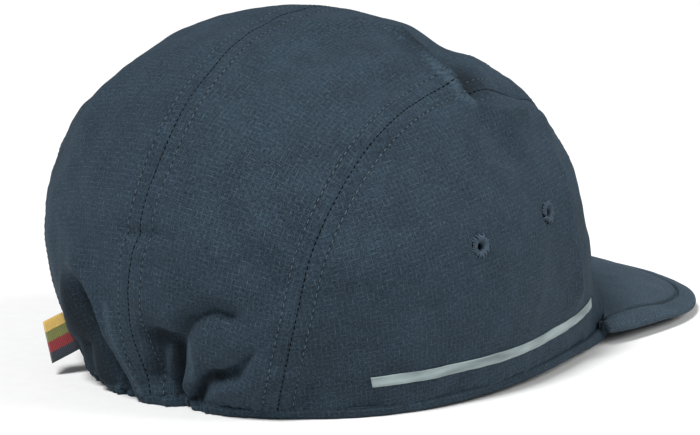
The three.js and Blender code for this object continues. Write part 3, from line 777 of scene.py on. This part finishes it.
topThread = threadFinish("topThread", srgb(32, 45, 55), srgb(80, 97, 109), 0.3)
hemThread = threadFinish("hemThread", srgb(12, 19, 26), srgb(40, 53, 64), 0.15)
darkThread = threadFinish("darkThread", srgb(1, 2, 4), srgb(9, 13, 18), 0.05)
eyeletThread = threadFinish("eyeletThread", srgb(6, 11, 17), srgb(72, 89, 104), 0.2)
print("cloth finishes made")

panels = {
    "sideRight": ("side", False, "side_panel_right"), "sideLeft": ("side", True, "side_panel_left"),
    "topRight": ("top", False, "top_panel_right"), "topLeft": ("top", True, "top_panel_left"),
    "front": ("front", False, "front_panel"),
}
made = {}
for title, (kind, mirrored, node) in panels.items():
    made[title] = makePanel(title + "Panel", kind, mirrored, panelCloth)
    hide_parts(node)


# The turned hem: foot and head of the rolled band, and the ways out from both
def bandFrame(turn):
    top = spotAt(turn, levelAbove(turn, hem["height"]))
    foot = cloth(spotAt(turn, 0.0), sewn=False)[0]
    foot[..., 2] = hemLift(turn) - cornerDrop(turn)
    rim = spotAt(turn, 0.0)
    out = outward(rim)
    out[..., 2] = 0
    head = cloth(top, sewn=False)[0]
    return foot, head, unit(out), outward(top)


# Turns round the hem, closer together at the back
def hemTurns(count):
    turns = np.linspace(0, 2 * math.pi, count, endpoint=False)
    return turns + hem["crowding"] * np.sin(turns)


# Up the band as a share of its height, and out from the cloth
hemProfile = [
    (1.03, -0.75), (1.0, -0.35), (0.96, 0.0), (0.88, 0.3), (0.76, 0.46), (0.6, 0.52),
    (0.42, 0.52), (0.26, 0.48), (0.13, 0.36), (0.05, 0.12), (0.01, -0.22), (0.0, -0.7),
    (0.01, -1.2), (0.06, -1.6), (0.15, -1.82), (0.3, -1.9), (0.6, -1.9), (0.85, -1.86),
    (0.98, -1.7), (1.04, -1.3),
]
# Bunches of gathers, where the elastic draws the hem in: turn, half width in degrees, and depth
hemGathers = [(170, 5, 1.4), (190, 4, 1.2), (205, 9, 0.7), (160, 9, 0.4), (180, 7, 0.4)]


def hemBandPiece():
    sections = 620
    turn = hemTurns(sections)
    foot, head, out, headOut = bandFrame(turn)
    degrees = np.degrees(turn) % 360
    gather = sum(depth * bump(degrees, at, wide) for at, wide, depth in hemGathers)
    ripple = np.sin(turn * 88 + 1.3 * np.sin(turn * 21)) + 0.5 * np.sin(turn * 163 + 2)
    ripple += 0.5 * np.sin(turn * 231 + np.sin(turn * 31))
    soft = np.sin(turn * 47 + 2 * np.sin(turn * 11)) + 0.6 * np.sin(turn * 23)
    points = np.zeros((sections, len(hemProfile), 3))
    for k, (up, depth) in enumerate(hemProfile):
        outer = max(0.0, min(1.0, (depth + 1.2) / 1.2))
        if k < 3:
            depth = depth * (0.3 + 0.7 * bump(degrees, 180, 40))
        swell = outer * math.sin(math.pi * min(1, up + 0.1)) ** 0.5
        puff = depth + swell * (0.6 * gather * ripple + 0.1 * soft)
        low = foot + out * puff[:, None]
        high = head + headOut * puff[:, None]
        points[:, k] = low * (1 - up) + high * up
    points[..., 2] = np.maximum(points[..., 2], 0)
    grain = np.zeros((sections, len(hemProfile), 2))
    run = np.linalg.norm(np.diff(foot, axis=0, append=foot[:1]), axis=1)
    grain[..., 0] = np.concatenate([[0], np.cumsum(run)[:-1]])[:, None]
    grain[..., 1] = np.cumsum([0] + [math.hypot((b[0] - a[0]) * hem["height"], b[1] - a[1])
                                     for a, b in zip(hemProfile, hemProfile[1:])])
    points = points.reshape(-1, 3)
    faces = tubeFaces(sections, len(hemProfile))
    return meshObject("hemBand", points, facingOut(points, faces),
                      {"grain": grain.reshape(-1, 2)}, hemCloth)


made["hemBand"] = hemBandPiece()
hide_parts("hem_band")
print("hem band made")


# The brim: cloth over a stiff core, with a stitched groove near its rolled edge
def brimEdge(share):
    look = brimShape
    end = bandFrame(np.array([math.radians(look["angle"])]))[0]
    back = (look["middle"] + end[0, 1]) / look["rear"]
    most = math.pi / 2 + math.asin(back ** (look["power"] / 2))
    turn = share * most

    def power(value):
        return np.sign(value) * np.abs(value) ** (2 / look["power"])
    front = frontFoot[1] - look["reach"]
    length = np.where(np.cos(turn) > 0, -front - look["middle"], look["rear"])
    away = np.abs(share)
    spring = look["spring"] * (1 - fade(away, 0.8, 1))
    rest = np.maximum(0, (away - look["tailFrom"]) / (1 - look["tailFrom"]))
    tail = hemLift(np.radians(look["angle"])) * rest ** 2
    return np.stack([-power(np.sin(turn)) * look["width"] / 2,
                     -(look["middle"] + length * power(np.cos(turn))), spring + tail], axis=-1)


def brimSurface(share, inset):
    look = brimShape
    turn = share * math.radians(look["angle"])
    foot, _, out, _ = bandFrame(turn)
    root = foot - out * look["tuck"]
    root[:, 2] += look["rootRise"] + cornerDrop(turn)
    edge = brimEdge(share)
    ahead = edge[:, :2] - root[:, :2]
    width = np.hypot(*ahead.T)
    along = unit(np.gradient(edge[:, :2], axis=0))
    square = np.abs(along[:, 0] * ahead[:, 1] - along[:, 1] * ahead[:, 0]) / width
    squeeze = np.minimum(1, width / (look["seamInset"] * 1.25))
    return root, edge, squeeze, np.minimum(1, inset * squeeze / width / np.maximum(square, 0.6))


def brimPlaces(root, edge, squeeze, share):
    places = edge * (1 - share[:, None]) + root * share[:, None]
    places[:, 2] += brimShape["dome"] * squeeze * np.sin(math.pi * share) ** 2
    return places


def rolled(inset, radius):
    return np.sqrt(np.clip(1 - (1 - np.minimum(inset, radius) / radius) ** 2, 0, 1))


# Heights of the top and the underside at a distance in from the edge, as shares of thickness
def brimTop(inset):
    look = brimShape
    groove = look["groove"] * bump(inset, look["seamInset"], look["grooveWidth"])
    return look["bottom"] + (1 - look["bottom"]) * rolled(inset, look["topRoll"]) - groove


def brimBottom(inset):
    return brimShape["bottom"] * (1 - rolled(inset, brimShape["bottomRoll"]))


def brimPiece():
    stations = np.linspace(-1, 1, brimShape["stations"])
    rim = np.array([0, 0.08, 0.2, 0.4, 0.65, 0.95, 1.3, 1.7, 2.4, 3.4, 4.6, 5.7, 6.4, 6.8, 7.1,
                    7.4, 7.6, 7.8, 8.1, 8.4, 8.8, 9.4])
    beyond = 20.0
    skins, insets = [], []
    inner = np.linspace(0, 1, brimShape["innerRows"] + 1)[1:]
    for top in (True, False):
        rows = []
        for k in range(len(rim) + len(inner)):
            inset = np.full(len(stations), rim[min(k, len(rim) - 1)])
            root, edge, squeeze, share = brimSurface(stations, inset)
            if k >= len(rim):
                share = share + (1 - share) * inner[k - len(rim)]
            place = brimPlaces(root, edge, squeeze, share)
            depth = inset if k < len(rim) else np.full(len(stations), beyond)
            height = brimTop(depth) if top else brimBottom(depth)
            place[:, 2] += height * brimShape["thickness"]
            rows.append(place)
            insets.append(depth)
        skins.append(np.array(rows))
    upper, lower = skins
    wave = crumpleHeight(upper.reshape(-1, 3) * (1, 1, 0.3) + (0, 0, 90)).reshape(upper.shape[:2])
    upper[..., 2] += brimShape["crumple"] * wave
    points, faces, used = shell(upper, lower)
    inset = np.array(insets[:len(upper)]).ravel()[used]
    rim = np.stack([points[:, 0], inset], axis=-1)
    grain = points[:, :2] + points[:, 2:] * (0.7, -0.7)
    return meshObject("brimCover", points, faces, {"grain": grain, "rim": rim}, brimCloth)


made["brim"] = brimPiece()
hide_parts("brim")
print("brim made")


# A tree of geometry nodes that lays copies of a thread
class Growth(Nodes):
    def __init__(self, name, inputs):
        super().__init__(bpy.data.node_groups.new(name, "GeometryNodeTree"))
        face = self.tree.interface
        for title, kind in {**inputs, "Seed": "Int", "Thread": "Material"}.items():
            face.new_socket(title, in_out="INPUT", socket_type="NodeSocket" + kind)
        face.new_socket("Grown", in_out="OUTPUT", socket_type="NodeSocketGeometry")
        self.start = self.tree.nodes.new("NodeGroupInput")

    def given(self, title):
        return Wire(self, self.start.outputs[title])

    # A random number for each copy
    def vary(self, low, high):
        return self.node("FunctionNodeRandomValue", {"data_type": "FLOAT"},
                         {2: low, 3: high, "Seed": self.given("Seed")}, 1)

    def copies(self, points, shape, rotation, scale):
        grown = self.node("GeometryNodeInstanceOnPoints", None, {
            "Points": points, "Instance": shape, "Rotation": rotation, "Scale": scale})
        grown = self.node("GeometryNodeRealizeInstances", None, [grown])
        grown = self.node("GeometryNodeSetShadeSmooth", None, [grown])
        grown = self.node("GeometryNodeSetMaterial", None, {
            "Geometry": grown, "Material": self.given("Thread")})
        self.end("NodeGroupOutput", grown, "Grown")
        return self.tree


# Stitches: one bead, drawn out long, for each step along a path of edges
def stitchTree():
    tree = Growth("stitchRows", {"Paths": "Geometry", "Pitch": "Float", "Length": "Float",
                                 "Thickness": "Float"})
    curve = tree.node("GeometryNodeMeshToCurve", None, [tree.given("Paths")])
    even = tree.node("GeometryNodeResampleCurve", {"mode": "LENGTH"},
                     {"Curve": curve, "Length": tree.given("Pitch")})
    align = tree.node("FunctionNodeAlignRotationToVector", {"axis": "Z"},
                      {"Vector": tree.node("GeometryNodeInputTangent")})
    bead = tree.node("GeometryNodeMeshUVSphere", None, {"Segments": 7, "Rings": 6, "Radius": 0.5})
    thick = tree.given("Thickness")
    scale = tree.node("ShaderNodeVectorMath", {"operation": "SCALE"}, {
        0: tree.vector(thick, thick, tree.given("Length")), "Scale": tree.vary(0.9, 1.08)})
    return tree.copies(even, bead, align, scale)


stitchRows = stitchTree()


# Runs a node tree on an object and keeps what it makes as a plain mesh.
def grow(name, source, tree, settings):
    modifier = source.modifiers.new(name, "NODES")
    modifier.node_group = tree
    for item in tree.interface.items_tree:
        if item.in_out == "INPUT" and item.name in settings:
            modifier[item.identifier] = settings[item.name]
    bpy.context.view_layer.update()
    graph = bpy.context.evaluated_depsgraph_get()
    mesh = bpy.data.meshes.new_from_object(source.evaluated_get(graph))
    bpy.data.objects.remove(source)
    mesh.name = name
    return addObject(name, mesh)


def stitch(name, paths, material):
    edges, start = [], 0
    for path in paths:
        edges += [(start + k, start + k + 1) for k in range(len(path) - 1)]
        start += len(path)
    mesh = bpy.data.meshes.new(name + "Path")
    mesh.from_pydata(toFrame(np.concatenate(paths)).tolist(), edges, [])
    pitch, length, thickness = (size / 1000 for size in stitchSizes[name])
    made[name] = grow(name, addObject(name + "Path", mesh), stitchRows, {
        "Pitch": pitch, "Length": length, "Thickness": thickness, "Seed": stitchSeed,
        "Thread": material})
    print(name, len(made[name].data.polygons), "faces")


# Moves an edge to one side of it on the disc, by a distance in millimetres.
def shiftEdge(spots, side, distance, step=0.002):
    along = unit(np.gradient(spots, axis=0))
    away = side * np.stack([-along[:, 1], along[:, 0]], axis=-1)
    here = onDisc(spots)
    run = unit(onDisc(spots + along * step) - here)
    move = onDisc(spots + away * step) - here
    move -= (move * run).sum(1)[:, None] * run
    return spots + away * (distance / (np.linalg.norm(move, axis=1) / step))[:, None]


# How far along a seam the rows begin, and their step, lifts and nearest place to another seam
rowShape = {"from": 0.012, "step": 1.3, "lift": 0.05, "ditchLift": -0.02, "clear": 0.25, "fewest": 5}

# Rows of topstitching on both sides of every seam, and the seam's own stitches in its ditch
topRows, ditchRows = [], []
for title, seam in seams.items():
    first = 0 if title.startswith("front") else rowShape["from"]
    spots = seam.at(np.linspace(first, 1, int(seam.length / rowShape["step"])))
    ditchRows.append(cloth(spots, rowShape["ditchLift"])[0])
    for flip in (-1, 1):
        moved = shiftEdge(spots, flip, sewing["rowAway"])
        keepers = nearestSeam(onDisc(moved))[0] > sewing["rowAway"] - rowShape["clear"]
        runs = np.split(np.arange(len(spots)), np.flatnonzero(np.diff(keepers.astype(int))) + 1)
        topRows += [cloth(moved[run], rowShape["lift"])[0] for run in runs
                    if keepers[run[0]] and len(run) >= rowShape["fewest"]]
stitch("topStitches", topRows, topThread)
stitch("ditchStitches", ditchRows, darkThread)

turns = hemTurns(700)
_, head, _, headOut = bandFrame(np.append(turns, turns[0] + 2 * math.pi))
stitch("hemStitches", [head + headOut * 0.02], hemThread)

brimShares = np.linspace(-0.985, 0.985, 260)
row = brimPlaces(*brimSurface(brimShares, np.full(len(brimShares), brimShape["seamInset"])))
row[:, 2] += brimTop(brimShape["seamInset"]) * brimShape["thickness"] + brimShape["stitchLift"]
stitch("brimStitches", [row], topThread)


# The reflective strips follow the cloth a fixed rise above the hem edge.
strip = {"rise": 13, "width": 4.2, "thickness": 0.22, "lift": 0.28, "from": 128, "to": 57}


def stripPiece(name, mirrored, material):
    turn = np.radians(np.linspace(strip["from"], strip["to"], 190)) * (-1 if mirrored else 1)
    profile = np.array([(0, 0.15), (0.02, 0.8), (0.08, 1), (0.25, 1), (0.5, 1), (0.75, 1), (0.92, 1),
                        (0.98, 0.8), (1, 0.15)])
    rises = strip["rise"] + profile[:, 0] * strip["width"]
    level = np.stack([levelAbove(turn, rise) for rise in rises])
    spots = spotAt(np.broadcast_to(turn, level.shape), level)
    base, _ = cloth(spots, strip["lift"])
    normal = outward(spots)
    upper = base + normal * (profile[:, 1] * strip["thickness"])[:, None, None]
    lower = base - normal * 0.2
    points, faces, used = shell(upper, lower)
    run = runAlong(base[len(base) // 2])
    grain = np.stack(np.broadcast_arrays(run[None, :], rises[:, None]), -1).reshape(-1, 2)
    return meshObject(name, points, faces, {"grain": grain[used]}, material)


def silverFinish():
    made = Finish("silverTape")
    u, v = made.mapParts("grain")
    fine = made.noise(made.vector(u, v), 5.5, 2.0, 0.7)
    slow = made.noise(made.vector(u * 0.05, v * 0.3, 2.0), 1.0, 2.0)
    knit = (u * 6.5).sine() * (v * 6.5).sine()
    tone = (fine * 0.7 + (slow - 0.5) * 2.2 + 0.15).clamped()
    colour = made.mix(tone, srgb(92, 105, 107), srgb(146, 161, 162))
    return made.finish(colour, 0.5, fine + knit * 0.3, 0.3, 0.0001, Metallic=0.25)


silverTape = silverFinish()
for mirrored, side in ((False, "Right"), (True, "Left")):
    title = "strip" + side
    made[title] = stripPiece(title, mirrored, silverTape)
    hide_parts("reflective_strip_" + side.lower())
print("strips made")


def clothFrame(turn, level):
    spot = spotAt(math.radians(turn), level)[None]
    out = outward(spot)[0]
    up = unit(np.array((0, 0, 1)) - out[2] * out)
    frameAt = Matrix.Identity(4)
    for k, axis in enumerate((np.cross(up, out), up, out, toFrame(cloth(spot)[0][0]))):
        frameAt.col[k].xyz = axis
    return frameAt


# Eyelets: threads laid over a small ring, side by side round the hole
def eyeletTree():
    tree = Growth("eyeletThreads", {"Hole": "Float", "Width": "Float", "Rise": "Float",
                                    "Thickness": "Float", "Count": "Int"})
    inner, outer = tree.given("Hole") * 0.5, tree.given("Width") * 0.5
    rise = tree.given("Rise")
    arch = tree.node("GeometryNodeCurvePrimitiveBezierSegment", None, {
        "Resolution": 7, "Start": tree.vector(outer, 0.0, rise * -0.5),
        "Start Handle": tree.vector(outer, 0.0, rise * 1.35),
        "End Handle": tree.vector(inner, 0.0, rise * 1.5),
        "End": tree.vector(inner, 0.0, rise * -1.6)})
    section = tree.node("GeometryNodeCurvePrimitiveCircle", None, {
        "Resolution": 6, "Radius": tree.given("Thickness") * 0.5})
    tube = tree.node("GeometryNodeCurveToMesh", None, {
        "Curve": arch, "Profile Curve": section, "Fill Caps": True})
    line = tree.node("GeometryNodeMeshLine", None, {
        "Count": tree.given("Count"), "Offset": (0, 0, 0)})
    turn = tree.node("GeometryNodeInputIndex") * (2 * math.pi) / tree.given("Count")
    amount = tree.vary(-0.08, 0.08)
    size = amount * 1.2 + 1.0
    return tree.copies(line, tube, tree.vector(0.0, 0.0, turn + amount), tree.vector(size, size, size))


eyeletThreads = eyeletTree()


# The ring under the threads, turned round the hole and through the wall of the cloth
def eyeletRing(name):
    hole, wide = eyeletShape["hole"] / 2 + 0.15, eyeletShape["width"] / 2 + 0.2
    wall = crown["wall"]
    profile = np.array([
        (hole, -wall / 2), (hole + 0.15, 0.1), (hole + 0.7, 0.42), ((hole + wide) / 2, 0.5),
        (wide - 0.6, 0.36), (wide, -0.1), (wide - 0.2, -wall - 0.2),
        ((hole + wide) / 2, -wall - 0.55), (hole + 0.3, -wall - 0.3)])
    turns = np.linspace(0, 2 * math.pi, 40, endpoint=False)[:, None]
    x, z = profile.T / 1000
    points = np.stack(np.broadcast_arrays(x * np.cos(turns), x * np.sin(turns), z), -1).reshape(-1, 3)
    faces = tubeFaces(len(turns), len(profile))
    return smoothMesh(name, points, facingOut(points, faces), darkThread)


for k, (node, (turn, level)) in enumerate(eyeletSpots.items()):
    title = "eyelet" + "".join(part.title() for part in node.split("_")[1:])
    ring = eyeletRing(title + "Ring")
    source = addObject(title + "Source", bpy.data.meshes.new(title + "Source"))
    threadsOn = grow(title + "Threads", source, eyeletThreads, {
        "Hole": eyeletShape["hole"] / 1000, "Width": eyeletShape["width"] / 1000,
        "Rise": eyeletShape["rise"] / 1000, "Thickness": eyeletShape["thread"] / 1000,
        "Count": eyeletShape["threads"], "Seed": 5 + k, "Thread": eyeletThread})
    frameAt = clothFrame(turn, level)
    ring.transform(frameAt)
    threadsOn.data.transform(frameAt)
    made[title] = addObject(title + "Ring", ring)
    made[title + "Threads"] = threadsOn
    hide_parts(node)
print("eyelets made")


# The ribbon tag at the left rear seam, folded over into a loop
tag = {"height": 14.5, "reach": 9.2, "lean": 3.6, "ply": 0.4, "loop": 2.2, "low": 8.2}


def ribbonFinish():
    made = Finish("stripedRibbon")
    u, v = made.mapParts("grain")
    bands = [srgb(30, 42, 54), srgb(132, 26, 34), srgb(112, 116, 58), srgb(220, 182, 96)]
    wander = made.noise(made.vector(u * 1.4, v * 0.6), 1.0, 1.0)
    share = v + (wander - 0.5) * 0.03
    colour = bands[0]
    for k in (1, 2, 3):
        colour = made.mix(share.calc("GREATER_THAN", share, k / 4), colour, bands[k])
    rib = (u * (2 * math.pi / 0.62)).sine()
    fine = made.noise(made.vector(u * 3.0, v * 40.0), 1.0, 2.0, 0.6)
    shade = (0.18 + (fine - 0.5) * 0.5 - rib * 0.1).clamped()
    colour = made.mix(shade, colour, srgb(26, 28, 30))
    return made.finish(colour, 0.7, rib * 0.5 + fine * 0.6, 0.6, 0.0003, Sheen_Weight=0.2)


def tagPiece():
    rear = seams["rearLeft"]
    rise = tag["low"] + tag["height"] / 2
    shares = np.linspace(0, 0.5, 251)
    share = shares[np.argmax(onDisc(rear.at(shares))[:, 2] >= rise)]
    spots = rear.at(np.array([share - 0.03, share, share + 0.03]))
    low, middle, high = cloth(spots, sewn=False)[0]
    up = unit(high - low)
    out = outward(spots[1:2])[0]
    out = unit(out - out.dot(up) * up)
    across = np.cross(up, out)
    start = middle - out * 0.4
    bend, ply, reach = tag["loop"] / 2, tag["ply"], tag["reach"] + 0.4
    path = [(0, -0.35), (1.2, -0.5)] + [(x, -bend + 0.1) for x in (2.6, 4.2, 5.6)]
    angles = np.linspace(-math.pi / 2, math.pi / 2, 11)
    path += [(reach - bend + bend * math.cos(a), bend * math.sin(a)) for a in angles]
    path += [(x, bend - 0.1) for x in (5.6, 4.2, 2.6)] + [(1.2, 0.5), (0, 0.35)]
    path = np.array(path)
    along = unit(np.gradient(path, axis=0))
    inward = np.stack([-along[:, 1], along[:, 0]], -1)
    shares = spread(tag["height"], 0.5, (0.12, 0.3, 0.6))
    run = runAlong(path)

    def skin(depth):
        flat = path + inward * depth
        sway = 0.35 * np.sin(shares[:, None] * 5 + 1) * fade(flat[None, :, 0], 0, 6)
        selvage = 1 - 0.3 * np.exp(-np.minimum(shares, 1 - shares)[:, None] / 0.03)
        lean = 1 + tag["lean"] / tag["reach"] * (0.5 - shares[:, None])
        return (start + (flat[None, :, 0] * lean)[..., None] * out
                + (flat[None, :, 1] * selvage + sway)[..., None] * across
                + ((shares - 0.5) * tag["height"])[:, None, None] * up)
    points, faces, used = shell(skin(0.0), skin(ply))
    grain = np.stack(np.broadcast_arrays(run[None, :], shares[:, None]), -1).reshape(-1, 2)
    return meshObject("ribbonTag", points, faces, {"grain": grain[used]}, ribbonFinish())


made["ribbonTag"] = tagPiece()
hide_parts("tag_loop")
print("tag made")

for piece in made.values():
    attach(piece, "root")
for title in panels:
    (width, length), area = flatSizes[title + "Panel"]

# Camera, pale floor and soft light
viewing = {"azimuth": 220, "elevation": 12.5, "distance": 1100, "lens": 154.8, "aim": (0, 0, 48)}


def aimedFrom(aim, azimuth, elevation, distance):
    a, e = math.radians(azimuth), math.radians(elevation)
    back = np.array((math.sin(a) * math.cos(e), -math.cos(a) * math.cos(e), math.sin(e)))
    target = toFrame(np.array(aim, float))
    return Vector(target + back * distance / 1000), Vector(-back).to_track_quat("-Z", "Y")


eye = bpy.data.cameras.new("camera")
eye.lens, eye.clip_start, eye.clip_end = viewing["lens"], 0.02, 60
cameraObject = addObject("camera", eye)
cameraObject.rotation_mode = "QUATERNION"
cameraObject.location, cameraObject.rotation_quaternion = aimedFrom(
    viewing["aim"], viewing["azimuth"], viewing["elevation"], viewing["distance"])
scene.camera = cameraObject

floorMesh = bpy.data.meshes.new("floor")
far = 14.0
floorMesh.from_pydata([(-far, -far, 0), (far, -far, 0), (far, far, 0), (-far, far, 0)], [],
                      [(0, 1, 2, 3)])
floor = addObject("floor", floorMesh)
paper = Finish("paleFloor")
place = paper.node("ShaderNodeTexCoord", None, (), "Object")
grainy = paper.noise(place, 160.0, 3.0, 0.6)
floorMesh.materials.append(paper.finish(paper.mix(grainy, (0.72, 0.72, 0.72, 1), (0.78, 0.78, 0.78, 1)),
                                        0.9, grainy, 0.15, 0.0003))

# Lamps: azimuth, elevation, distance in mm, width in m, watts
lamps = {
    "key": (188, 57, 6000, 1.8, 460),
    "fill": (298, 34, 6000, 3.0, 230),
}
for title, (azimuth, elevation, distance, width, power) in lamps.items():
    lamp = bpy.data.lights.new(title, "AREA")
    lamp.shape, lamp.size, lamp.energy = "DISK", width, power
    holder = addObject(title, lamp)
    holder.rotation_mode = "QUATERNION"
    holder.location, holder.rotation_quaternion = aimedFrom((0, 0, 60), azimuth, elevation, distance)

world = bpy.data.worlds.new("studio")
world.use_nodes = True
world.node_tree.nodes["Background"].inputs["Color"].default_value = (1, 1, 1, 1)
world.node_tree.nodes["Background"].inputs["Strength"].default_value = 0.27
scene.world = world
print("stage set")
